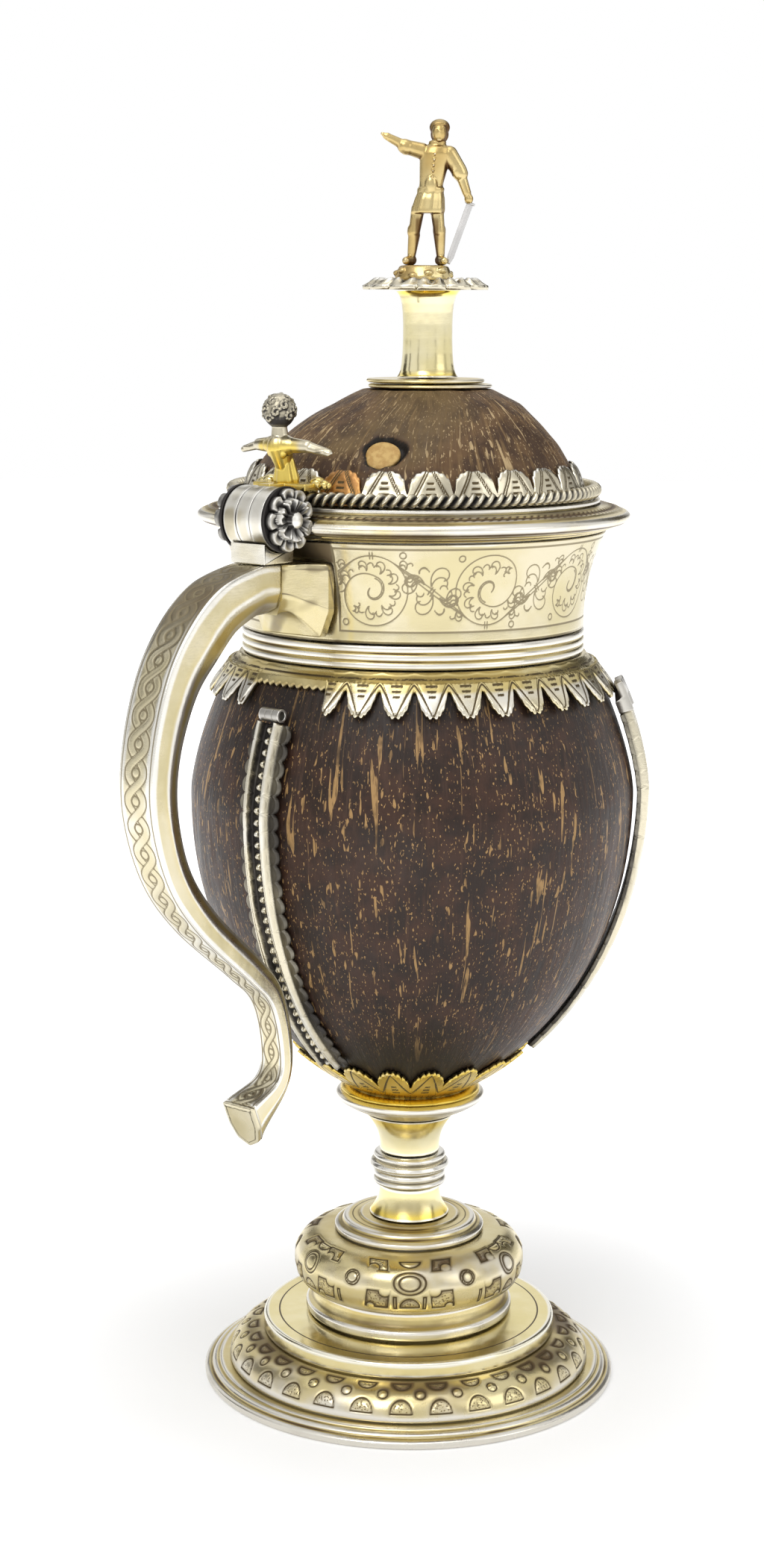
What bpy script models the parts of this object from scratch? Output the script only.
# A lidded tankard: a coconut shell in gilt mounts, on a turned foot, with a strap handle and a hinged lid.
# Lengths are metres, +Z is up, the foot rests on z = 0 and the handle points to -X.
# A turned outline is a list of (radius, height) points, worked out from the sizes below.

import math

import bmesh
import bpy
from mathutils import Matrix, Vector

# Clearances and sides
GAP = 0.0003                # between pieces that touch
TURN_GAP = 0.00035          # round a piece that turns on another
RING_SIDES = 32
STEM_SIDES = 18
SMALL_SIDES = 16
SHARP_ANGLE = 35.0
LEAF_SLIT_SHARE = 0.22       # of a leaf's width, on each side of a slit

# Foot
SHEET = 0.0010
RIM_RADIUS = 0.0458
RIM_WIDTH = 0.0068
RIM_EDGE = 0.0019
RIM_RISE = 0.0014
MOULDING_INSET = 0.0056
MOULDING_RUN = 0.0077
MOULDING_RISE = 0.0064
PLATE_EDGE = 0.0034
PLATE_CONE = 0.0006
PEDESTAL_RADIUS = 0.0230
PEDESTAL_WAIST = 0.0209
PEDESTAL_HEIGHT = 0.0057
CUSHION_RADIUS = 0.0256
CUSHION_HEIGHT = 0.0123
CAP_RADIUS = 0.0166
CAP_HEIGHT = 0.0033
CAP_WALL = 0.0015

# Stem
STEM_FOOT_RADIUS = 0.0089
STEM_WAIST_RADIUS = 0.0068
STEM_TOP_RADIUS = 0.0101
STEM_WALL = 0.0016
FLARE_POWER = 1.5
LOWER_STEM_HEIGHT = 0.0065
KNOP_RADIUS = 0.0090
KNOP_HEIGHT = 0.0073
UPPER_STEM_HEIGHT = 0.0088
COLLAR_RADIUS = 0.0164
COLLAR_HEIGHT = 0.0049
BOLT_RADIUS = 0.0017
BOLT_HEAD_RADIUS = 0.0060
BOLT_HEAD_HEIGHT = 0.0025
BOLT_NUT_WIDTH = 0.0090
BOLT_NUT_HEIGHT = 0.0030

# Calyx that holds the nut
CALYX_FOOT_RADIUS = 0.0154
CALYX_RISE = 0.0055
CALYX_LEAVES = 18
CALYX_LEAF_LENGTH = 0.0053

# Nut shell
NUT_RADIUS = 0.0479
NUT_WALL = 0.0040
NUT_FOOT_CUT = 0.0028       # the round end that is cut flat, above the shape's lowest point
NUT_BELLY_RISE = 0.0692     # heights above the shape's lowest point
NUT_MOUTH_RISE = 0.0970
NUT_CROWN_RISE = 0.1214
NUT_LOWER_FORM = (2.161, 0.618)
NUT_UPPER_FORM = (1.425, 0.421)

# Straps
STRAP_ANGLES = (180.0, 304.0, 60.0)
STRAP_NAMES = ("handle", "right", "back")
STRAP_TOP_DROPS = (0.0096, 0.0112, 0.0112)      # below the nut's mouth
STRAP_WIDTH = 0.0100
STRAP_BASE = 0.0008
STRAP_RIDGE_SPACING = 0.0053
STRAP_RIDGE_WIDTH = 0.0013
STRAP_DEPTH = 0.0028
STRAP_FOOT_DEPTH = 0.0019
STRAP_LIFT = 0.0009         # the springy top end stands off the nut by this
STRAP_STEPS = 12
STRAP_KNUCKLE_RADIUS = 0.0014
STRAP_KNUCKLE_LENGTH = 0.0052
STRAP_PIN_RADIUS = 0.0006
LUG_THICKNESS = 0.0012
LUG_SEAT = 0.0030           # the lug's reach up the skirt

# Skirt and neck
SKIRT_SHEET = 0.0009
SKIRT_LEAVES = 36
SKIRT_LEAF_LENGTH = 0.0048
SKIRT_LIFT = 0.0011         # the leaves' tips stand off the nut by this
SKIRT_SHOULDER = 0.0023     # from the nut's mouth down to the leaves' slits
SKIRT_TOP_RISE = 0.0021
SKIRT_GAP_ANGLE = 14.0      # half of the cut beside the handle
REED_HEIGHT = 0.0051
REED_STEP = 0.0002          # the reeds stand out past the neck's foot
REED_COUNT = 3
REED_RELIEF = 0.0005
NECK_INSET = 0.0019         # the neck's foot stands inside the nut's mouth
NECK_FLARE = 0.0045
NECK_FLARE_POWER = 2.2
NECK_HEIGHT = 0.0204
NECK_WALL = 0.0012
LIP_OVERHANG = 0.0050       # past the neck's mouth
LIP_HEIGHT = 0.0054
LIP_WALL = 0.0011
LIP_EDGE = 0.0012

# Lid
BEZEL_DEPTH = 0.0065
BEZEL_WALL = 0.0010
BEZEL_CLEARANCE = 0.0005
LID_RIM_THICKNESS = 0.0007
WIRE_RADIUS = 0.0015
WIRE_OVERHANG = 0.0017      # past the bezel
BORDER_LEAVES = 24
BORDER_COLLAR = 0.0025
BORDER_LEAF_LENGTH = 0.0034
BORDER_SHEET = 0.0008
DOME_RISE = 0.0258
DOME_CUT = 0.0224
DOME_FORM = (1.6, 0.6)
DOME_WALL = 0.0032
FINIAL_OFFSET = 0.0027      # the crown's lean at its top
DOME_LEAN_POWER = 3.0
FINIAL_ANGLE = -50.0        # the way in which the finial stands off the middle, and the figure's right
EYE_HEIGHT = 0.0105         # above the dome's foot
EYE_RADII = (0.0036, 0.0026, 0.0026)
EYE_ANGLES = (206.0, 326.0, 86.0)
EYE_DEPTH = 0.0020

# Finial
PLATE_RADII = (0.0131, 0.0125)
PLATE_THICKNESS = 0.0008
COLUMN_RADIUS = 0.0054
COLUMN_FOOT_RADIUS = 0.0061
COLUMN_TOP_RADIUS = 0.0068
COLUMN_HEIGHT = 0.0178
COLUMN_WALL = 0.0010
PLATE_SHIFTS = (0.0006, -0.0004)
DISH_RADIUS = 0.0133
DISH_SHIFT = -0.0005
DISH_LOBES = 12
DISH_THICKNESS = 0.0016
MOUND_RADIUS = 0.0058
MOUND_HEIGHT = 0.0030
FIGURE_SHIFT = -0.0009
ROD_RADIUS = 0.0011
ROD_HOLE_CLEARANCE = 0.0004
ROD_NUT_WIDTH = 0.0060
ROD_NUT_HEIGHT = 0.0020
FIGURE_HEIGHT = 0.0299

# Hinge
HINGE_STANDOFF = 0.0012     # the axis stands outside the lip's edge
HINGE_DROP = 0.0008         # the axis stands below the lip's top
BARREL_RADIUS = 0.0064
BARREL_LENGTH = 0.0103
PIN_RADIUS = 0.0015
WASHER_RADIUS = 0.0066
WASHER_THICKNESS = 0.0006
ROSETTE_RADIUS = 0.0063
ROSETTE_THICKNESS = 0.0020
ROSETTE_PETALS = 12
PETAL_VALLEY = 0.88          # the radius between two petals, as a share
BOSS_RADIUS = 0.0018
BOSS_HEIGHT = 0.0014
TAB_THICKNESS = 0.0014
TAB_HALF_WIDTH = 0.0070
THUMB_HEIGHT = 0.0177
THUMB_SPAN = 0.0117
THUMB_HEAD_RADIUS = 0.0037
THUMB_STANDOFF = 0.0074     # from the hinge's axis to the figure's foot
THUMB_LEAN = 0.0027         # toward the hinge, at the head

# Handle
HANDLE_BULGE = 0.0368           # past the hinge's axis
HANDLE_WIDTH = 0.0092
HANDLE_WRIST_WIDTH = 0.0064
HANDLE_END_WIDTH = 0.0082
HANDLE_ROOT_DEPTH = 0.0102
HANDLE_SHOULDER_DEPTH = 0.0134
HANDLE_BELLY_DEPTH = 0.0098
HANDLE_WRIST_DEPTH = 0.0056
HANDLE_END_DEPTH = 0.0103
HANDLE_FOOT = 0.0745            # height of the shield's upper edge
HANDLE_REST_GAP = 0.0005        # from the wrist to the strap behind it
HANDLE_SPAN_STEPS = 3
BRACKET_HALF_WIDTH = 0.0100
BRACKET_FOOT_TAPER = 0.75
BRACKET_DROP = 0.0150
SADDLE_WIDTH = 0.0092
SADDLE_REACH = 0.0048
SADDLE_DEPTH = 0.0021
SADDLE_INNER_ANGLE = 34.0
SHIELD_THICKNESS = 0.0010

# Levels, from the foot up
rim_top = RIM_EDGE + RIM_RISE
moulding_foot = rim_top + GAP
moulding_top = moulding_foot + MOULDING_RISE
plate_foot = moulding_top + GAP
plate_top = plate_foot + PLATE_EDGE
pedestal_foot = plate_top + PLATE_CONE + GAP
pedestal_top = pedestal_foot + PEDESTAL_HEIGHT
cushion_foot = pedestal_top + GAP
cushion_top = cushion_foot + CUSHION_HEIGHT
cap_foot = cushion_top + GAP
cap_top = cap_foot + CAP_HEIGHT
lower_stem_foot = cap_top + GAP
lower_stem_top = lower_stem_foot + LOWER_STEM_HEIGHT
knop_foot = lower_stem_top + GAP
knop_top = knop_foot + KNOP_HEIGHT
upper_stem_foot = knop_top + GAP
upper_stem_top = upper_stem_foot + UPPER_STEM_HEIGHT
collar_foot = upper_stem_top + GAP
collar_top = collar_foot + COLLAR_HEIGHT
calyx_foot = collar_top + GAP
nut_foot = calyx_foot + SHEET + GAP
nut_pole = nut_foot - NUT_FOOT_CUT
nut_mouth = nut_pole + NUT_MOUTH_RISE
skirt_top = nut_mouth + SKIRT_TOP_RISE
reeds_foot = skirt_top + GAP
reeds_top = reeds_foot + REED_HEIGHT
neck_foot = reeds_top + GAP
neck_top = neck_foot + NECK_HEIGHT
lip_foot = neck_top + GAP
lip_top = lip_foot + LIP_HEIGHT
lid_foot = lip_top + GAP
lid_rim_top = lid_foot + LID_RIM_THICKNESS
dome_foot = lid_rim_top + GAP
dome_top = dome_foot + DOME_CUT
plates_foot = dome_top + GAP
column_foot = plates_foot + len(PLATE_RADII) * (PLATE_THICKNESS + GAP)
column_top = column_foot + COLUMN_HEIGHT
dish_foot = column_top + GAP
dish_top = dish_foot + DISH_THICKNESS
mound_top = dish_top + GAP + MOUND_HEIGHT
figure_foot = mound_top + GAP

# Radii that follow from others
moulding_radius = RIM_RADIUS - MOULDING_INSET
plate_radius = moulding_radius - MOULDING_RUN
mouth_share = (NUT_MOUTH_RISE - NUT_BELLY_RISE) / (NUT_CROWN_RISE - NUT_BELLY_RISE)
mouth_radius = NUT_RADIUS * (1 - mouth_share ** NUT_UPPER_FORM[0]) ** NUT_UPPER_FORM[1]
neck_foot_radius = mouth_radius - NECK_INSET
reed_radius = neck_foot_radius + REED_STEP
neck_mouth_radius = neck_foot_radius + NECK_FLARE
lip_radius = neck_mouth_radius + LIP_OVERHANG
lip_bore = neck_mouth_radius - NECK_WALL - LIP_WALL
bezel_radius = lip_bore - BEZEL_CLEARANCE
wire_reach = bezel_radius + WIRE_OVERHANG
wire_centre = wire_reach - WIRE_RADIUS
border_radius = wire_centre - WIRE_RADIUS - GAP
dome_foot_radius = border_radius - BORDER_SHEET - GAP

# Hinge axis, along Y
hinge_x = -(lip_radius + HINGE_STANDOFF)
hinge_z = lip_top - HINGE_DROP
knuckle_length = (BARREL_LENGTH - 2 * TURN_GAP) / 3
handle_top_z = hinge_z - BARREL_RADIUS - TURN_GAP - SADDLE_DEPTH - GAP
tab_foot = dome_foot + 2 * WIRE_RADIUS + GAP
strap_foot = calyx_foot + CALYX_RISE + CALYX_LEAF_LENGTH + SHEET


def shape_material(name, colour, metallic, roughness):
    material = bpy.data.materials.new(name)
    material.use_nodes = True
    shader = material.node_tree.nodes["Principled BSDF"]
    shader.inputs["Base Color"].default_value = (*colour, 1.0)
    shader.inputs["Metallic"].default_value = metallic
    shader.inputs["Roughness"].default_value = roughness
    return material


def clear_scene():
    for item in list(bpy.data.objects):
        bpy.data.objects.remove(item, do_unlink=True)


def add_empty(name, location):
    empty = bpy.data.objects.new(name, None)
    empty.location = location
    bpy.context.scene.collection.objects.link(empty)
    bpy.context.view_layer.update()
    return empty


def add_piece(name, bm, material, parent):
    bmesh.ops.remove_doubles(bm, verts=bm.verts, dist=1e-7)
    bmesh.ops.recalc_face_normals(bm, faces=bm.faces)
    mesh = bpy.data.meshes.new(name)
    bm.to_mesh(mesh)
    bm.free()
    mesh.shade_smooth()
    mesh.set_sharp_from_angle(angle=math.radians(SHARP_ANGLE))
    piece = bpy.data.objects.new(name, mesh)
    piece.data.materials.append(material)
    bpy.context.scene.collection.objects.link(piece)
    piece.parent = parent
    piece.matrix_parent_inverse = parent.matrix_world.inverted()
    return piece


def turned(outline, sides):
    # A closed outline gives a ring. One that starts and ends on the axis gives a solid.
    bm = bmesh.new()
    verts = [bm.verts.new((radius, 0.0, height)) for radius, height in outline]
    edges = [bm.edges.new(pair) for pair in zip(verts, verts[1:])]
    if outline[0][0] > 0.0:
        edges.append(bm.edges.new((verts[-1], verts[0])))
    bmesh.ops.spin(bm, geom=verts + edges, cent=(0, 0, 0), axis=(0, 0, 1), angle=2 * math.pi,
                   steps=sides, use_merge=True)
    bmesh.ops.remove_doubles(bm, verts=bm.verts, dist=1e-7)
    return bm


def move(bm, matrix):
    bmesh.ops.transform(bm, matrix=matrix, verts=bm.verts)
    return bm


def lofted(sections, closed):
    # Each section is a loop of points. The loops are joined in order, round to the first or with end faces.
    bm = bmesh.new()
    loops = [[bm.verts.new(point) for point in section] for section in sections]
    count = len(loops[0])
    pairs = list(zip(loops, loops[1:]))
    if closed:
        pairs.append((loops[-1], loops[0]))
    for first, second in pairs:
        for i in range(count):
            j = (i + 1) % count
            bm.faces.new((first[i], first[j], second[j], second[i]))
    if not closed:
        bm.faces.new(loops[0])
        bm.faces.new(list(reversed(loops[-1])))
    return bm


def smooth_path(points, count):
    # A curve through every point, evenly spaced by its own parameter.
    padded = [points[0] * 2 - points[1]] + points + [points[-1] * 2 - points[-2]]
    spans = len(points) - 1
    result = []
    for step in range(count + 1):
        place = step / count * spans
        span = min(int(place), spans - 1)
        t = place - span
        a, b, c, d = padded[span:span + 4]
        result.append(0.5 * (2 * b + (c - a) * t + (2 * a - 5 * b + 4 * c - d) * t * t
                             + (3 * b - 3 * c + d - a) * t ** 3))
    return result


def blend(first, last, t):
    return first + (last - first) * t


def combined(piece, others, operation):
    # The piece takes the shape of its Boolean with the others, which are then removed.
    for other in others:
        modifier = piece.modifiers.new(operation.lower(), "BOOLEAN")
        modifier.operation = operation
        modifier.solver = "EXACT"
        modifier.object = other
    bpy.context.view_layer.update()
    shaped = piece.evaluated_get(bpy.context.evaluated_depsgraph_get())
    piece.data = bpy.data.meshes.new_from_object(shaped)
    piece.data.set_sharp_from_angle(angle=math.radians(SHARP_ANGLE))
    piece.modifiers.clear()
    for other in others:
        bpy.data.objects.remove(other, do_unlink=True)
    return piece


def joined(name, solids, material, parent):
    # One body from overlapping solids.
    pieces = [add_piece(f"{name}_{i}", bm, material, parent) for i, bm in enumerate(solids)]
    pieces[0].name = name
    return combined(pieces[0], pieces[1:], "UNION")


def ball(centre, radii, detail=1):
    bm = bmesh.new()
    bmesh.ops.create_icosphere(bm, subdivisions=detail, radius=1.0)
    return move(bm, Matrix.Translation(centre) @ Matrix.Diagonal((*radii, 1.0)))


def limb(start, end, start_radius, end_radius, sides=8):
    along = Vector(end) - Vector(start)
    bm = bmesh.new()
    bmesh.ops.create_cone(bm, cap_ends=True, segments=sides, radius1=start_radius, radius2=end_radius,
                          depth=along.length)
    turn = Vector((0, 0, 1)).rotation_difference(along).to_matrix().to_4x4()
    return move(bm, Matrix.Translation((Vector(start) + Vector(end)) / 2) @ turn)


def nut_radius(z):
    # The egg shape of the shell, narrow below and open at the mouth.
    rise = z - nut_pole
    if rise < NUT_BELLY_RISE:
        power, root = NUT_LOWER_FORM
        share = (NUT_BELLY_RISE - rise) / NUT_BELLY_RISE
    else:
        power, root = NUT_UPPER_FORM
        share = (rise - NUT_BELLY_RISE) / (NUT_CROWN_RISE - NUT_BELLY_RISE)
    return NUT_RADIUS * max(1 - share ** power, 0.0) ** root


def nut_slope(z):
    step = 1e-5
    return (nut_radius(z + step) - nut_radius(z - step)) / (2 * step)


def off_nut(z, distance):
    # The point that stands this far off the shell, square to it, level with z on the shell.
    slope = nut_slope(z)
    length = math.hypot(1.0, slope)
    return nut_radius(z) + distance / length, z - distance * slope / length


def neck_radius(z):
    share = min(max((z - neck_foot) / NECK_HEIGHT, 0.0), 1.0)
    return neck_foot_radius + NECK_FLARE * share ** NECK_FLARE_POWER


def dome_radius(z):
    power, root = DOME_FORM
    share = min(max((z - dome_foot) / DOME_RISE, 0.0), 1.0)
    return dome_foot_radius * (1 - share ** power) ** root


def leaning(distance, z):
    # The point this far from the middle, in the direction in which the lid's crown leans.
    angle = math.radians(FINIAL_ANGLE)
    return Vector((distance * math.cos(angle), distance * math.sin(angle), z))


def dome_lean(z):
    # The crown itself stands straight, so that the rod's hole does.
    share = min(max((z - dome_foot) / (DOME_CUT - DOME_WALL), 0.0), 1.0)
    return leaning(FINIAL_OFFSET * share ** DOME_LEAN_POWER, 0.0)


def spread(first, last, count):
    return [blend(first, last, i / (count - 1)) for i in range(count)]


def build_foot(vessel, gilt):
    inner = RIM_RADIUS - RIM_WIDTH
    rim = [(RIM_RADIUS, 0.0), (RIM_RADIUS, RIM_EDGE), (RIM_RADIUS - RIM_WIDTH * 0.4, rim_top - RIM_RISE * 0.5),
           (RIM_RADIUS - RIM_WIDTH * 0.45, rim_top), (inner, rim_top), (inner, rim_top - SHEET),
           (RIM_RADIUS - RIM_WIDTH * 0.6, 0.0)]
    add_piece("foot_rim", turned(rim, RING_SIDES), gilt, vessel)

    def bulge(angle, inset):
        run = (MOULDING_RUN - inset) * math.cos(angle)
        rise = (MOULDING_RISE - inset) * math.sin(angle)
        return plate_radius + run, moulding_foot + rise

    quarter = spread(0.0, math.pi / 2, 5)
    moulding = [bulge(angle, 0.0) for angle in quarter]
    moulding.append((plate_radius - 2 * SHEET, moulding_top))
    moulding.append((plate_radius - 2 * SHEET, moulding_top - SHEET))
    moulding += [bulge(angle, SHEET) for angle in reversed(quarter[:4])]
    add_piece("foot_moulding", turned(moulding, RING_SIDES), gilt, vessel)

    bore = PEDESTAL_RADIUS - 2.5 * SHEET
    plate = [(plate_radius, plate_foot), (plate_radius, plate_top), (bore, plate_top + PLATE_CONE),
             (bore, plate_top + PLATE_CONE - SHEET), (plate_radius - SHEET, plate_top - SHEET),
             (plate_radius - SHEET, plate_foot)]
    add_piece("foot_plate", turned(plate, RING_SIDES), gilt, vessel)

    bead = pedestal_foot + PEDESTAL_HEIGHT * 0.35
    pedestal = [(PEDESTAL_RADIUS - SHEET * 0.4, pedestal_foot), (PEDESTAL_RADIUS, pedestal_foot + SHEET * 0.6),
                (PEDESTAL_RADIUS, bead), (PEDESTAL_WAIST + SHEET * 0.6, bead + SHEET),
                (PEDESTAL_WAIST, pedestal_top), (PEDESTAL_WAIST - SHEET, pedestal_top),
                (PEDESTAL_RADIUS - 2 * SHEET, pedestal_foot)]
    add_piece("foot_pedestal", turned(pedestal, RING_SIDES), gilt, vessel)

    middle = cushion_foot + CUSHION_HEIGHT * 0.5
    seat = CAP_RADIUS - SHEET

    def puff(angle, inset):
        foot = PEDESTAL_WAIST if angle < 0 else seat + SHEET
        radius = foot + (CUSHION_RADIUS - inset - foot) * abs(math.cos(angle)) ** 0.8
        return radius, middle + (CUSHION_HEIGHT / 2 - inset) * math.sin(angle)

    angles = spread(-math.pi / 2, math.pi / 2, 8)
    cushion = [(PEDESTAL_WAIST - 1.5 * SHEET, cushion_foot)]
    cushion += [puff(angle, 0.0) for angle in angles]
    cushion += [(seat, cushion_top), (seat, cushion_top - SHEET)]
    cushion += [puff(angle, SHEET) for angle in reversed(angles[1:-1:2])]
    cushion.append((PEDESTAL_WAIST - 1.5 * SHEET, cushion_foot + SHEET))
    add_piece("cushion", turned(cushion, RING_SIDES), gilt, vessel)

    hole = BOLT_RADIUS + GAP
    under = cap_top - CAP_WALL
    cap = [(CAP_RADIUS, cap_foot), (CAP_RADIUS, cap_foot + CAP_HEIGHT * 0.3),
           (CAP_RADIUS - 1.7 * SHEET, cap_foot + CAP_HEIGHT * 0.55),
           (CAP_RADIUS - 2.1 * SHEET, cap_top - CAP_HEIGHT * 0.15), (STEM_FOOT_RADIUS, cap_top),
           (hole, cap_top), (hole, under), (BOLT_NUT_WIDTH / 2 + GAP, under),
           (CAP_RADIUS - 2 * CAP_WALL, cap_foot)]
    add_piece("cushion_cap", turned(cap, RING_SIDES), gilt, vessel)


def build_stem(vessel, gilt, iron):
    def spool(foot, height, foot_radius, waist_radius, top_radius, steps=4):
        # A concave turned spool with an even wall.
        outer = []
        for i in range(steps + 1):
            share = i / steps
            low = (foot_radius - waist_radius) * max(1 - 2 * share, 0.0) ** FLARE_POWER
            high = (top_radius - waist_radius) * max(2 * share - 1, 0.0) ** FLARE_POWER
            outer.append((waist_radius + low + high, foot + height * share))
        inner = [(waist_radius - STEM_WALL, foot + height), (waist_radius - STEM_WALL, foot)]
        return outer + inner

    lower = spool(lower_stem_foot, LOWER_STEM_HEIGHT, STEM_FOOT_RADIUS, STEM_WAIST_RADIUS, STEM_WAIST_RADIUS)
    add_piece("stem_lower", turned(lower, STEM_SIDES), gilt, vessel)

    bore = STEM_WAIST_RADIUS - STEM_WALL
    ring = KNOP_HEIGHT / 4
    small = KNOP_RADIUS - 0.9 * SHEET
    valley = KNOP_RADIUS - 1.6 * SHEET
    knop = [(STEM_WAIST_RADIUS, knop_foot), (small, knop_foot + ring * 0.4), (valley, knop_foot + ring),
            (small, knop_foot + ring * 1.5), (valley, knop_foot + ring * 1.9),
            (KNOP_RADIUS, knop_foot + ring * 2.5), (valley, knop_foot + ring * 3.1),
            (small, knop_foot + ring * 3.5), (STEM_WAIST_RADIUS, knop_top), (bore, knop_top), (bore, knop_foot)]
    add_piece("stem_knop", turned(knop, STEM_SIDES), gilt, vessel)

    upper = spool(upper_stem_foot, UPPER_STEM_HEIGHT, STEM_WAIST_RADIUS, STEM_WAIST_RADIUS, STEM_TOP_RADIUS)
    add_piece("stem_upper", turned(upper, STEM_SIDES), gilt, vessel)

    hole = BOLT_RADIUS + GAP
    collar = [(hole, collar_foot), (STEM_TOP_RADIUS, collar_foot),
              (COLLAR_RADIUS - 1.6 * SHEET, collar_foot + COLLAR_HEIGHT * 0.45),
              (COLLAR_RADIUS, collar_foot + COLLAR_HEIGHT * 0.7), (COLLAR_RADIUS, collar_top - SHEET * 0.5),
              (COLLAR_RADIUS - SHEET, collar_top), (hole, collar_top)]
    add_piece("calyx_collar", turned(collar, RING_SIDES), gilt, vessel)

    under = cap_top - CAP_WALL - GAP
    head = nut_foot + NUT_WALL + GAP
    tip = under - BOLT_NUT_HEIGHT - 2 * SHEET
    bolt = [(0.0, tip), (BOLT_RADIUS, tip), (BOLT_RADIUS, head), (BOLT_HEAD_RADIUS, head),
            (BOLT_HEAD_RADIUS * 0.8, head + BOLT_HEAD_HEIGHT * 0.7), (0.0, head + BOLT_HEAD_HEIGHT)]
    add_piece("stem_bolt", turned(bolt, 12), iron, vessel)
    nut = [(hole, under - BOLT_NUT_HEIGHT), (BOLT_NUT_WIDTH / 2, under - BOLT_NUT_HEIGHT),
           (BOLT_NUT_WIDTH / 2, under), (hole, under)]
    add_piece("stem_bolt_nut", turned(nut, 6), iron, vessel)


def leaf_columns(leaves, first=0.0):
    # The angles round a leafy edge, with how far down the leaf each one reaches.
    pitch = 360.0 / leaves
    slit = pitch * LEAF_SLIT_SHARE
    columns = []
    for i in range(leaves):
        start = first + i * pitch
        columns += [(start, 0.0), (start + slit, 1.0), (start + pitch - slit, 1.0)]
    return columns


def around(angle, outline):
    turn = math.radians(angle)
    return [(radius * math.cos(turn), radius * math.sin(turn), z) for radius, z in outline]


def build_calyx(vessel, gilt):
    slits = calyx_foot + CALYX_RISE
    hole = BOLT_RADIUS + GAP
    floor = calyx_foot + SHEET
    sections = []
    for angle, reach in leaf_columns(CALYX_LEAVES):
        tip = slits + CALYX_LEAF_LENGTH * reach + SHEET * 0.4
        outer = [(hole, calyx_foot), (CALYX_FOOT_RADIUS, calyx_foot)]
        inner = [(hole, floor), (CALYX_FOOT_RADIUS - 2 * SHEET, floor)]
        for z in (slits, tip):
            outer.append(off_nut(z, GAP + SHEET))
            inner.append(off_nut(z, GAP))
        sections.append(around(angle, outer + inner[::-1]))
    add_piece("calyx_bowl", lofted(sections, True), gilt, vessel)


def build_nut(vessel, shell):
    outer = []
    for share in (0, 0.04, 0.11, 0.22, 0.37, 0.54, 0.7, 0.85, 1):
        z = blend(nut_foot, nut_mouth, share)
        outer.append((nut_radius(z), z))
    floor = nut_foot + NUT_WALL
    inner = []
    for share in (1, 0.84, 0.6, 0.33, 0.1):
        z = blend(floor, nut_mouth, share)
        radius, height = off_nut(z, -NUT_WALL)
        inner.append((radius, nut_mouth if share == 1 else height))
    hole = BOLT_RADIUS + GAP
    outline = [(hole, nut_foot)] + outer + inner + [(inner[-1][0] * 0.6, floor), (hole, floor)]
    add_piece("nut_shell", turned(outline, RING_SIDES), shell, vessel)


def strap_point(angle, z, across, height):
    # A point on a strap: this far across it and this high above the shell, past the clearance below it.
    radius, level = off_nut(z, GAP + height)
    turn = Matrix.Rotation(math.radians(angle), 3, "Z")
    return turn @ Vector((radius, across, level))


def strap_profile(z, top):
    # The strap's lift off the shell and its depth, at this level.
    foot = strap_foot
    share = min(max((z - foot) / (top - foot), 0.0), 1.0)
    return STRAP_LIFT * share ** 2, blend(STRAP_FOOT_DEPTH, STRAP_DEPTH, share)


def build_strap(name, angle, top, vessel, gilt):
    half = STRAP_WIDTH / 2
    ridge = (STRAP_RIDGE_SPACING + STRAP_RIDGE_WIDTH) / 2
    groove = (STRAP_RIDGE_SPACING - STRAP_RIDGE_WIDTH) / 2
    sections = []
    for z in spread(strap_foot, top, STRAP_STEPS):
        lift, depth = strap_profile(z, top)
        # A flat base, and on it two ridges with a beaded groove between them.
        bed = STRAP_BASE * 1.4
        shape = [(-half, 0), (half, 0), (half, STRAP_BASE), (ridge, STRAP_BASE), (ridge, depth),
                 (groove, depth), (groove, bed), (-groove, bed), (-groove, depth), (-ridge, depth),
                 (-ridge, STRAP_BASE), (-half, STRAP_BASE)]
        sections.append([strap_point(angle, z, across, lift + height) for across, height in shape])
    add_piece(f"strap_{name}", lofted(sections, False), gilt, vessel)


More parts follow.
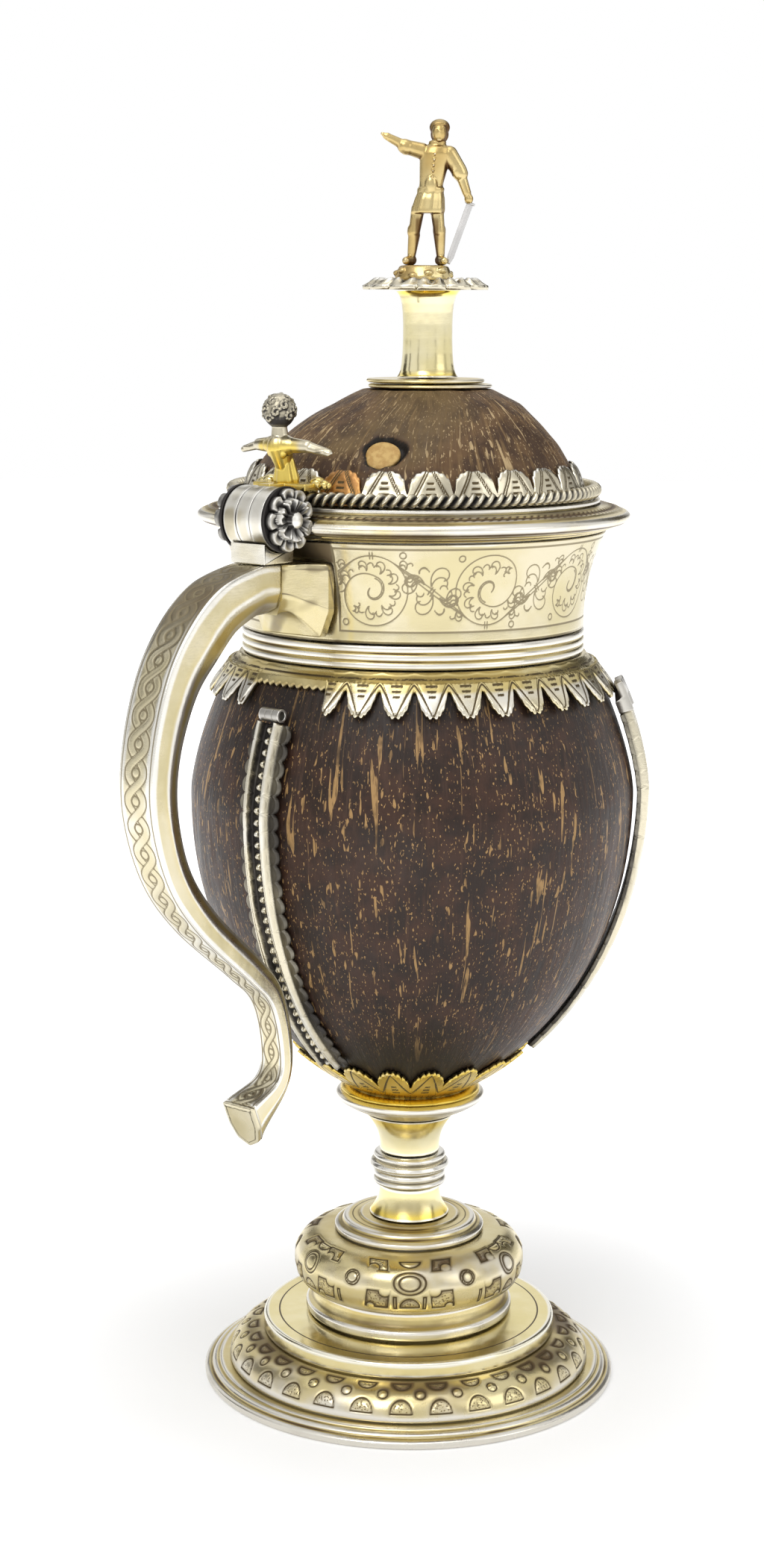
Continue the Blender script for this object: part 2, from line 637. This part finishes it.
def build_straps(vessel, gilt):
    for name, angle, drop in zip(STRAP_NAMES, STRAP_ANGLES, STRAP_TOP_DROPS):
        top = nut_mouth - drop
        build_strap(name, angle, top, vessel, gilt)
        climb = math.hypot(1.0, nut_slope(top))
        centre_z = top + (STRAP_KNUCKLE_RADIUS + GAP) / climb
        pin_height = STRAP_LIFT + STRAP_DEPTH / 2
        turn = Matrix.Rotation(math.radians(angle), 4, "Z") @ Matrix.Rotation(-math.pi / 2, 4, "X")
        across = Matrix.Translation(strap_point(angle, centre_z, 0.0, pin_height)) @ turn
        bore = STRAP_PIN_RADIUS + GAP
        half_tube = STRAP_KNUCKLE_LENGTH / 2
        tube = [(bore, -half_tube), (STRAP_KNUCKLE_RADIUS, -half_tube), (STRAP_KNUCKLE_RADIUS, half_tube),
                (bore, half_tube)]
        add_piece(f"strap_knuckle_{name}", move(turned(tube, 10), across), gilt, vessel)
        if name == "handle":
            # This strap has lost its pin and its lug.
            continue
        reach = half_tube + GAP
        pin = [(0.0, -reach), (STRAP_PIN_RADIUS, -reach), (STRAP_PIN_RADIUS, reach), (0.0, reach)]
        add_piece(f"strap_pin_{name}", move(turned(pin, 8), across), gilt, vessel)

        # The lug straddles the knuckle and lies on the skirt above it.
        inside = reach + GAP
        outside = inside + LUG_THICKNESS
        below = -STRAP_KNUCKLE_RADIUS / climb
        bridge = (STRAP_KNUCKLE_RADIUS + GAP) / climb
        above = bridge + LUG_SEAT / climb
        over_skirt = SKIRT_LIFT + SKIRT_SHEET + GAP
        under = STRAP_LIFT
        plan = [(-outside, below, under), (-inside, below, under), (-inside, bridge, over_skirt),
                (inside, bridge, over_skirt), (inside, below, under), (outside, below, under),
                (outside, above, over_skirt), (-outside, above, over_skirt)]
        inner = [strap_point(angle, centre_z + rise, side, height) for side, rise, height in plan]
        face = max(pin_height + STRAP_PIN_RADIUS, over_skirt) + LUG_THICKNESS
        outer = [strap_point(angle, centre_z + rise, side, face) for side, rise, height in plan]
        add_piece(f"strap_lug_{name}", lofted([inner, outer], False), gilt, vessel)


def build_skirt(vessel, gilt):
    slits = nut_mouth - SKIRT_SHOULDER
    seat = reed_radius - 2 * SKIRT_SHEET
    gap_middle = STRAP_ANGLES[0]
    shoulder = off_nut(nut_mouth, GAP)[0]
    sections = []
    for angle, reach in leaf_columns(SKIRT_LEAVES):
        tip = slits - SKIRT_LEAF_LENGTH * reach
        lift = SKIRT_LIFT
        if abs(angle - gap_middle) < SKIRT_GAP_ANGLE:
            tip = slits
            lift = 0.0
        outer = [(reed_radius + SKIRT_SHEET * 0.5, skirt_top), (shoulder + SKIRT_SHEET, nut_mouth + GAP),
                 off_nut(blend(nut_mouth, tip, 0.5), GAP + lift * 0.5 + SKIRT_SHEET),
                 off_nut(tip, GAP + lift + SKIRT_SHEET)]
        inner = [(seat, skirt_top), (seat, nut_mouth + GAP + SKIRT_SHEET * 0.6), (shoulder, nut_mouth + GAP),
                 off_nut(tip, GAP + lift)]
        sections.append(around(angle, outer + inner[::-1]))
    add_piece("neck_skirt", lofted(sections, True), gilt, vessel)

    pitch = REED_HEIGHT / REED_COUNT
    reeds = []
    for i in range(REED_COUNT):
        foot = reeds_foot + i * pitch
        reeds += [(reed_radius - REED_RELIEF, foot), (reed_radius, foot + pitch * 0.5)]
    reeds += [(reed_radius - REED_RELIEF, reeds_top), (seat, reeds_top), (seat, reeds_foot)]
    add_piece("neck_reeds", turned(reeds, RING_SIDES), gilt, vessel)


def build_neck(vessel, gilt):
    heights = [neck_foot + NECK_HEIGHT * share for share in (0, 0.4, 0.7, 1)]
    band = [(neck_radius(z), z) for z in heights]
    band += [(neck_radius(z) - NECK_WALL, z) for z in reversed(heights)]
    add_piece("neck_band", turned(band, RING_SIDES), gilt, vessel)

    outer = neck_mouth_radius
    edge = lip_radius - LIP_EDGE
    lip = [(lip_bore, lip_foot), (outer, lip_foot), (edge, lip_foot + LIP_HEIGHT * 0.2),
           (lip_radius, lip_foot + LIP_HEIGHT * 0.42), (lip_radius, lip_foot + LIP_HEIGHT * 0.6),
           (edge, lip_foot + LIP_HEIGHT * 0.78), (outer, lip_top - SHEET * 0.2), (lip_bore + SHEET, lip_top),
           (lip_bore, lip_top - SHEET)]
    flange = add_piece("lip_flange", turned(lip, RING_SIDES), gilt, vessel)

    # The flange is cut away where the hinge's barrel and rosettes stand.
    inside = hinge_x + BARREL_RADIUS + GAP
    half = BARREL_LENGTH / 2 + WASHER_THICKNESS + ROSETTE_THICKNESS + BOSS_HEIGHT + 4 * GAP
    bm = bmesh.new()
    bmesh.ops.create_cube(bm, size=1.0)
    move(bm, Matrix.Translation((inside - lip_radius / 2, 0, (lip_foot + lip_top) / 2))
         @ Matrix.Diagonal((lip_radius, 2 * half, 2 * LIP_HEIGHT, 1.0)))
    combined(flange, [add_piece("lip_notch", bm, gilt, vessel)], "DIFFERENCE")


def handle_stations():
    # Down the handle's outer face: each station is x, z, width and depth.
    def beside(z, standoff):
        # Off the shell, square to it, past the strap.
        strap_top = nut_mouth - STRAP_TOP_DROPS[0]
        lift, strap_depth = strap_profile(z, strap_top)
        distance = GAP + lift + strap_depth + standoff
        return -nut_radius(z) - distance * math.hypot(1.0, nut_slope(z))

    drop = handle_top_z - HANDLE_FOOT

    def level(share):
        return HANDLE_FOOT + drop * share

    wide = HANDLE_WIDTH
    narrow = HANDLE_WRIST_WIDTH
    shoulder = HANDLE_BULGE
    wrist = level(0.178)
    rest = HANDLE_WRIST_DEPTH + HANDLE_REST_GAP
    thin = HANDLE_WRIST_DEPTH * 1.18
    return [Vector(station) for station in (
        (hinge_x, handle_top_z, wide, HANDLE_ROOT_DEPTH),
        (hinge_x - shoulder * 0.17, level(0.999), wide, HANDLE_ROOT_DEPTH * 1.08),
        (hinge_x - shoulder * 0.46, level(0.971), wide, HANDLE_SHOULDER_DEPTH * 0.95),
        (hinge_x - shoulder * 0.685, level(0.912), wide, HANDLE_SHOULDER_DEPTH),
        (hinge_x - shoulder * 0.865, level(0.824), wide, HANDLE_SHOULDER_DEPTH * 0.9),
        (hinge_x - shoulder * 0.98, level(0.70), wide, HANDLE_BELLY_DEPTH * 1.07),
        (hinge_x - shoulder * 0.995, level(0.582), wide, HANDLE_BELLY_DEPTH),
        (hinge_x - shoulder * 0.865, level(0.452), wide * 0.96, HANDLE_BELLY_DEPTH * 0.87),
        (hinge_x - shoulder * 0.615, level(0.347), blend(wide, narrow, 0.35), HANDLE_BELLY_DEPTH * 0.77),
        (beside(level(0.235), rest + 0.0035), level(0.235), blend(wide, narrow, 0.75), thin),
        (beside(wrist, rest), wrist, narrow, HANDLE_WRIST_DEPTH),
        (beside(level(0.09), rest + 0.0021), level(0.09), narrow, HANDLE_WRIST_DEPTH * 0.91),
        (beside(level(0.032), rest + 0.0057), level(0.032), narrow * 1.05, HANDLE_WRIST_DEPTH * 0.95),
        (beside(HANDLE_FOOT, rest + 0.0122), HANDLE_FOOT, HANDLE_END_WIDTH, HANDLE_END_DEPTH),
    )]


def handle_section(point, along, width, depth):
    # A flat outer face, square sides and a rounded inner side.
    normal = Vector((-along.y, along.x))
    half = width / 2
    shape = [(half, 0.0), (half, depth * 0.5), (half * 0.72, depth * 0.84), (0.0, depth),
             (-half * 0.72, depth * 0.84), (-half, depth * 0.5), (-half, 0.0)]
    return [Vector((point.x + normal.x * inward, across, point.y + normal.y * inward))
            for across, inward in shape]


def build_handle(vessel, gilt):
    stations = handle_stations()
    count = HANDLE_SPAN_STEPS * (len(stations) - 1)
    route = smooth_path(stations, count)
    sections = []
    for i, station in enumerate(route):
        along = (route[min(i + 1, count)] - route[max(i - 1, 0)]).xy.normalized()
        sections.append(handle_section(station.xy, along, station.z, station.w))
    # The first face stands upright against the bracket.
    sections[0] = handle_section(route[0].xy, Vector((-1.0, 0.0)), route[0].z, route[0].w)
    add_piece("handle_body", lofted(sections, False), gilt, vessel)

    end = sections[-1]
    face = (end[3] - end[0]).cross(end[-1] - end[0]).normalized()
    if face.x > 0:
        face = -face
    shield = [[corner + face * distance for corner in end] for distance in (GAP, GAP + SHIELD_THICKNESS)]
    add_piece("handle_shield", lofted(shield, False), gilt, vessel)


def build_bracket(vessel, gilt):
    # The bracket spreads from the handle's width to a foot on the neck, cut to the neck's curve.
    outside = hinge_x + GAP
    wall = -neck_radius(handle_top_z)
    sections = []
    for share in (1.6, 1.0, 0.6, 0.25, 0.0):
        x = blend(outside, wall, share)
        spread_out = min(share, 1.0) ** 2
        half = blend(HANDLE_WIDTH / 2, BRACKET_HALF_WIDTH, spread_out)
        low_half = half * blend(1.0, BRACKET_FOOT_TAPER, spread_out)
        foot = handle_top_z - blend(HANDLE_ROOT_DEPTH, BRACKET_DROP, min(share, 1.0) ** 1.5)
        side = blend(foot, handle_top_z, 0.35)
        sections.append([(x, -low_half, foot), (x, low_half, foot), (x, half, side), (x, half, handle_top_z),
                         (x, -half, handle_top_z), (x, -half, side)])
    bracket = add_piece("handle_bracket", lofted(sections, False), gilt, vessel)

    heights = spread(neck_foot - BRACKET_DROP, lip_foot + LIP_HEIGHT, 12)
    body = [(0.0, heights[0])] + [(neck_radius(z) + GAP, z) for z in heights] + [(0.0, heights[-1])]
    combined(bracket, [add_piece("neck_room", turned(body, 2 * RING_SIDES), gilt, vessel)], "DIFFERENCE")


def build_saddle(vessel, gilt):
    # A block on the handle, hollowed to the barrel's curve with a running gap.
    hollow = BARREL_RADIUS + TURN_GAP
    foot = handle_top_z + GAP
    first = -math.asin(min(SADDLE_REACH / hollow, 0.9))
    last = math.radians(SADDLE_INNER_ANGLE)
    profile = []
    for angle in spread(first, last, 7):
        profile.append((hinge_x + hollow * math.sin(angle), hinge_z - hollow * math.cos(angle)))
    profile.append((profile[-1][0], foot))
    profile.append((profile[0][0], foot))
    saddle = [[Vector((x, side, z)) for x, z in profile] for side in (-SADDLE_WIDTH / 2, SADDLE_WIDTH / 2)]
    add_piece("handle_saddle", lofted(saddle, False), gilt, vessel)


def build_hinge(vessel, lid, gilt, silver):
    axis = Matrix.Translation((hinge_x, 0, hinge_z)) @ Matrix.Rotation(-math.pi / 2, 4, "X")
    bore = PIN_RADIUS + TURN_GAP
    half = BARREL_LENGTH / 2

    def ring(start, end, radius):
        return move(turned([(bore, start), (radius, start), (radius, end), (bore, end)], SMALL_SIDES), axis)

    add_piece("knuckle_front", ring(-half, -half + knuckle_length, BARREL_RADIUS), gilt, vessel)
    add_piece("knuckle_rear", ring(half - knuckle_length, half, BARREL_RADIUS), gilt, vessel)
    reach = half + GAP + WASHER_THICKNESS
    pin = [(0.0, -reach), (PIN_RADIUS, -reach), (PIN_RADIUS, reach), (0.0, reach)]
    add_piece("hinge_pin", move(turned(pin, 12), axis), silver, vessel)

    for name, side in (("front", -1), ("rear", 1)):
        start = side * (half + GAP)
        end = start + side * WASHER_THICKNESS
        add_piece(f"washer_{name}", ring(min(start, end), max(start, end), WASHER_RADIUS), silver, vessel)
        rosette = flower(ROSETTE_RADIUS, ROSETTE_PETALS, ROSETTE_THICKNESS, BOSS_RADIUS, BOSS_HEIGHT)
        turn = Matrix.Rotation(-side * math.pi / 2, 4, "X")
        place = Matrix.Translation((hinge_x, end + side * GAP, hinge_z)) @ turn
        add_piece(f"rosette_{name}", move(rosette, place), silver, vessel)

    # The lid's knuckle carries a tab that runs over the wire and holds the thumbpiece.
    clear = math.sqrt(max((BARREL_RADIUS + TURN_GAP) ** 2 - (tab_foot - hinge_z) ** 2, 0.0))
    wide_x = hinge_x + clear + TURN_GAP
    inner_x = -border_radius - GAP
    narrow = knuckle_length / 2
    plan = [(hinge_x, -narrow), (wide_x, -narrow), (wide_x, -TAB_HALF_WIDTH), (inner_x, -TAB_HALF_WIDTH),
            (inner_x, TAB_HALF_WIDTH), (wide_x, TAB_HALF_WIDTH), (wide_x, narrow), (hinge_x, narrow)]
    tab = lofted([[Vector((x, y, z)) for x, y in plan] for z in (tab_foot, tab_foot + TAB_THICKNESS)], False)
    joined("lid_knuckle", [ring(-narrow, narrow, BARREL_RADIUS), tab], gilt, lid)


def flower(radius, petals, thickness, boss_radius, boss_height):
    # A scalloped disc, raised to a round boss in the middle, with its back on z = 0.
    bm = bmesh.new()
    rings = [(radius, 0.0, PETAL_VALLEY), (radius, thickness * 0.6, PETAL_VALLEY),
             (boss_radius * 2, thickness, 1.0), (boss_radius, thickness * 0.9, 1.0),
             (boss_radius, thickness + boss_height, 1.0)]
    loops = []
    for ring_radius, height, valley in rings:
        loop = []
        for i in range(2 * petals):
            angle = math.pi * i / petals
            reach = ring_radius * (valley if i % 2 else 1.0)
            loop.append(bm.verts.new((reach * math.cos(angle), reach * math.sin(angle), height)))
        loops.append(loop)
    for first, second in zip(loops, loops[1:]):
        for i in range(2 * petals):
            j = (i + 1) % (2 * petals)
            bm.faces.new((first[i], first[j], second[j], second[i]))
    bm.faces.new(loops[0])
    bm.faces.new(loops[-1])
    return bm


def build_lid(lid, gilt):
    bezel_top = lid_foot + LID_RIM_THICKNESS
    bezel_foot = lid_foot - BEZEL_DEPTH
    bezel = [(bezel_radius, bezel_foot), (bezel_radius, bezel_top), (bezel_radius - BEZEL_WALL, bezel_top),
             (bezel_radius - BEZEL_WALL, bezel_foot)]
    add_piece("lid_bezel", turned(bezel, RING_SIDES), gilt, lid)
    inner = bezel_radius + GAP
    outer = wire_reach - GAP
    rim = [(inner, lid_foot), (outer, lid_foot), (outer, lid_rim_top), (inner, lid_rim_top)]
    add_piece("lid_rim", turned(rim, RING_SIDES), gilt, lid)

    wire = []
    for i in range(6):
        angle = math.pi * (i + 0.5) / 3
        rise = WIRE_RADIUS * (1 + math.sin(angle))
        wire.append((wire_centre + WIRE_RADIUS * math.cos(angle), dome_foot + rise))
    add_piece("lid_wire", turned(wire, RING_SIDES), gilt, lid)

    # The border's leaves bend in over the dome, and its slits stand half a leaf off the hinge's line.
    slits = dome_foot + BORDER_COLLAR
    sections = []
    for angle, reach in leaf_columns(BORDER_LEAVES, 180.0 / BORDER_LEAVES):
        tip = slits + BORDER_LEAF_LENGTH * reach
        over = dome_radius(tip) + 2 * GAP
        foot = dome_foot_radius + GAP
        bend = blend(dome_foot, slits, 0.8)
        outer = [(border_radius, dome_foot), (border_radius, bend), (over + BORDER_SHEET, tip)]
        inner = [(foot, dome_foot), (foot + GAP, bend), (over, tip)]
        sections.append(around(angle, outer + inner[::-1]))
    add_piece("lid_border", lofted(sections, True), gilt, lid)


def build_dome(lid, shell, horn):
    outer = []
    for share in (0, 0.22, 0.42, 0.6, 0.77, 0.9, 1):
        z = dome_foot + DOME_CUT * share
        outer.append((dome_radius(z), z))
    hole = ROD_RADIUS + ROD_HOLE_CLEARANCE
    inner = []
    for share in (0.97, 0.75, 0.45, 0.0):
        z = dome_foot + (DOME_CUT - DOME_WALL) * share
        inner.append((dome_radius(z + DOME_WALL * share) - DOME_WALL * blend(0.9, 1.15, share), z))
    under = dome_top - DOME_WALL
    bm = turned(outer + [(hole, dome_top), (hole, under)] + inner, RING_SIDES)
    for vert in bm.verts:
        vert.co += dome_lean(vert.co.z)
    dome = add_piece("lid_dome", bm, shell, lid)

    plug_z = dome_foot + EYE_HEIGHT
    step = 1e-5
    slope = (dome_radius(plug_z + step) - dome_radius(plug_z - step)) / (2 * step)
    for index, (angle, radius) in enumerate(zip(EYE_ANGLES, EYE_RADII), start=1):
        turn = math.radians(angle)
        flat = Vector((math.cos(turn), math.sin(turn), 0))
        normal = Vector((flat.x, flat.y, -slope)).normalized()
        surface = flat * dome_radius(plug_z) + Vector((0, 0, plug_z)) + dome_lean(plug_z)
        face = Matrix.Translation(surface) @ normal.to_track_quat("Z", "Y").to_matrix().to_4x4()
        wide = radius + GAP
        socket = [(0.0, -EYE_DEPTH), (wide, -EYE_DEPTH), (wide, DOME_WALL), (0.0, DOME_WALL)]
        cutter = add_piece("eye_socket", move(turned(socket, 12), face), horn, lid)
        combined(dome, [cutter], "DIFFERENCE")
        back = GAP - EYE_DEPTH
        plug = [(0.0, back), (radius, back), (radius, -2 * GAP), (radius * 0.7, -GAP), (0.0, -GAP)]
        add_piece(f"eye_plug_{index}", move(turned(plug, 12), face), horn, lid)


def build_thumbpiece(lid, gilt):
    # A small half figure with spread arms that stands on the tab and faces the lid.
    foot = tab_foot + TAB_THICKNESS + GAP
    foot_x = hinge_x + THUMB_STANDOFF
    size = THUMB_HEAD_RADIUS

    def at(lean, rise, side=0.0):
        return Vector((foot_x - THUMB_LEAN * lean, THUMB_SPAN * side, foot + THUMB_HEIGHT * rise))

    head = foot + THUMB_HEIGHT - size
    solids = [
        ball((foot_x - THUMB_LEAN, 0, head), (size, size, size), 2),
        limb(at(0.92, 0.43), at(1.0, 0.68), size * 0.62, size * 0.42),
        limb(at(0.5, 0.16), at(0.88, 0.38), size * 0.55, size * 0.92),
        ball(at(0.9, 0.405), (size * 0.72, size * 1.25, size * 0.62)),
        limb(at(0.2, 0.0), at(0.2, 0.22), size * 0.78, size * 0.5, 10),
    ]
    for side in (-1, 1):
        elbow = at(0.6, 0.40, side * 0.55)
        tip = at(0.3, 0.34, side)
        solids.append(limb(at(0.9, 0.41, side * 0.1), elbow, size * 0.45, size * 0.38))
        solids.append(limb(elbow - (tip - elbow) * 0.15, tip, size * 0.40, size * 0.22))
    joined("thumbpiece", solids, gilt, lid)


def build_finial(lid, gilt, iron):
    hole = ROD_RADIUS + ROD_HOLE_CLEARANCE + max(abs(shift) for shift in PLATE_SHIFTS)
    for index, (radius, shift) in enumerate(zip(PLATE_RADII, PLATE_SHIFTS), start=1):
        foot = plates_foot + (index - 1) * (PLATE_THICKNESS + GAP)
        top = foot + PLATE_THICKNESS
        plate = [(hole, foot), (radius, foot), (radius, top), (hole, top)]
        place = Matrix.Translation(leaning(FINIAL_OFFSET + shift, 0.0))
        add_piece(f"finial_plate_{index}", move(turned(plate, RING_SIDES), place), gilt, lid)

    place = Matrix.Translation(leaning(FINIAL_OFFSET, 0.0))
    bore = COLUMN_RADIUS - COLUMN_WALL
    neck = column_top - COLUMN_HEIGHT * 0.14
    column = [(COLUMN_FOOT_RADIUS, column_foot), (COLUMN_RADIUS, column_foot + COLUMN_HEIGHT * 0.08),
              (COLUMN_RADIUS, neck), (blend(COLUMN_RADIUS, COLUMN_TOP_RADIUS, 0.3), blend(neck, column_top, 0.6)),
              (COLUMN_TOP_RADIUS, column_top), (bore, column_top), (bore, column_foot)]
    add_piece("finial_column", move(turned(column, STEM_SIDES), place), gilt, lid)

    dish = flower(DISH_RADIUS, DISH_LOBES, DISH_THICKNESS * 0.8, COLUMN_RADIUS, DISH_THICKNESS * 0.2)
    move(dish, Matrix.Translation(leaning(FINIAL_OFFSET + DISH_SHIFT, dish_foot)))
    add_piece("finial_dish", dish, gilt, lid)

    foot = dish_top + GAP
    mound = [(0.0, foot), (MOUND_RADIUS, foot), (MOUND_RADIUS, foot + MOUND_HEIGHT * 0.35),
             (MOUND_RADIUS * 0.75, mound_top), (0.0, mound_top)]
    stand = Matrix.Translation(leaning(FINIAL_OFFSET + FIGURE_SHIFT, 0.0))
    add_piece("figure_mound", move(turned(mound, SMALL_SIDES), stand), gilt, lid)

    nut_top = dome_top - DOME_WALL - GAP
    nut_foot_z = nut_top - ROD_NUT_HEIGHT
    rod = [(0.0, nut_foot_z - SHEET), (ROD_RADIUS, nut_foot_z - SHEET), (ROD_RADIUS, dish_foot - GAP),
           (0.0, dish_foot - GAP)]
    add_piece("finial_rod", move(turned(rod, 10), place), iron, lid)
    thread = ROD_RADIUS + GAP
    flat = ROD_NUT_WIDTH / 2
    nut = [(thread, nut_foot_z), (flat, nut_foot_z), (flat, nut_top), (thread, nut_top)]
    add_piece("finial_rod_nut", move(turned(nut, 6), place), iron, lid)


def build_figure(lid, gilt, silver):
    # The figure's own axes: x to the viewer's right, y away from the viewer and z up, as shares of its height.
    stand = Matrix.Translation(leaning(FINIAL_OFFSET + FIGURE_SHIFT, figure_foot))
    place = stand @ Matrix.Rotation(math.radians(FINIAL_ANGLE), 4, "Z")
    tall = FIGURE_HEIGHT

    def at(x, y, z):
        return Vector((x, y, z)) * tall

    def part(start, end, first, last, sides=8):
        return limb(at(*start), at(*end), tall * first, tall * last, sides)

    solids = [
        ball(at(0.102, 0.0, 0.918), (tall * 0.075, tall * 0.078, tall * 0.082), 2),
        part((0.080, 0, 0.76), (0.095, 0, 0.87), 0.045, 0.040),
        part((0.052, 0, 0.50), (0.076, 0, 0.79), 0.085, 0.100, 10),
        ball(at(0.076, 0, 0.745), (tall * 0.135, tall * 0.070, tall * 0.055)),
        part((0.033, 0, 0.335), (0.052, 0, 0.56), 0.110, 0.080, 10),
        part((-0.098, 0, 0.020), (-0.030, 0, 0.40), 0.036, 0.058),
        part((0.117, 0, 0.020), (0.085, 0, 0.40), 0.036, 0.058),
        part((-0.09, 0.02, 0.026), (-0.130, -0.05, 0.024), 0.038, 0.026),
        part((0.115, 0.02, 0.026), (0.140, -0.05, 0.024), 0.038, 0.026),
        part((-0.01, 0, 0.765), (-0.127, -0.02, 0.808), 0.060, 0.052),
        part((-0.11, -0.02, 0.80), (-0.288, -0.04, 0.886), 0.040, 0.026),
        part((0.155, 0, 0.755), (0.235, -0.01, 0.630), 0.062, 0.050),
        part((0.225, -0.01, 0.640), (0.318, -0.02, 0.435), 0.040, 0.028),
    ]
    for solid in solids:
        move(solid, place)
    joined("standing_figure", solids, gilt, lid)

    blade = part((0.168, -0.03, 0.012), (0.320, -0.02, 0.405), 0.010, 0.020, 4)
    add_piece("sword", move(blade, place), silver, lid)


def build_tankard():
    clear_scene()
    gilt = shape_material("silver_gilt", (0.86, 0.72, 0.36), 1.0, 0.22)
    silver = shape_material("worn_silver", (0.62, 0.60, 0.57), 1.0, 0.3)
    iron = shape_material("bolt_steel", (0.36, 0.35, 0.34), 1.0, 0.45)
    shell = shape_material("coconut_shell", (0.13, 0.07, 0.045), 0.0, 0.42)
    horn = shape_material("eye_plug", (0.55, 0.34, 0.16), 0.0, 0.6)
    vessel = add_empty("vessel_root", (0, 0, 0))
    lid = add_empty("lid_axis", (hinge_x, 0, hinge_z))
    build_foot(vessel, gilt)
    build_stem(vessel, gilt, iron)
    build_calyx(vessel, gilt)
    build_nut(vessel, shell)
    build_straps(vessel, gilt)
    build_skirt(vessel, gilt)
    build_neck(vessel, gilt)
    build_handle(vessel, gilt)
    build_bracket(vessel, gilt)
    build_saddle(vessel, gilt)
    build_hinge(vessel, lid, gilt, silver)
    build_lid(lid, gilt)
    build_dome(lid, shell, horn)
    build_thumbpiece(lid, gilt)
    build_finial(lid, gilt, iron)
    build_figure(lid, gilt, silver)


build_tankard()
